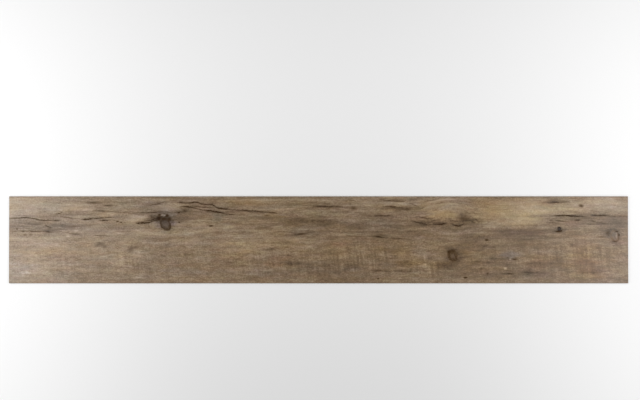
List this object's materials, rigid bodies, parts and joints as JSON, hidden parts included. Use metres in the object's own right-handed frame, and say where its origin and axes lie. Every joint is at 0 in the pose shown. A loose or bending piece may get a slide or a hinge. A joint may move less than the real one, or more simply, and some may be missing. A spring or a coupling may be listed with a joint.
{
  "type": "luxury vinyl tile",
  "caption": "Rectangular wood-look vinyl flooring plank that lies flat and is glued down by its back, with square-cut edges and a fine micro-bevel round the wear face.",
  "frame": {"origin": "centre of the back, on the plane where the tile meets the floor", "axes": "+X along the plank's length and its printed grain, +Y across its width, +Z out of the wear face"},
  "size_m": [1.219, 0.171, 0.0025],
  "materials": {
    "vinyl": "matt embossed wood print under a clear wear layer"
  },
  "bodies": {
    "root": {"vinyl_plank": "vinyl"}
  },
  "joints": []
}
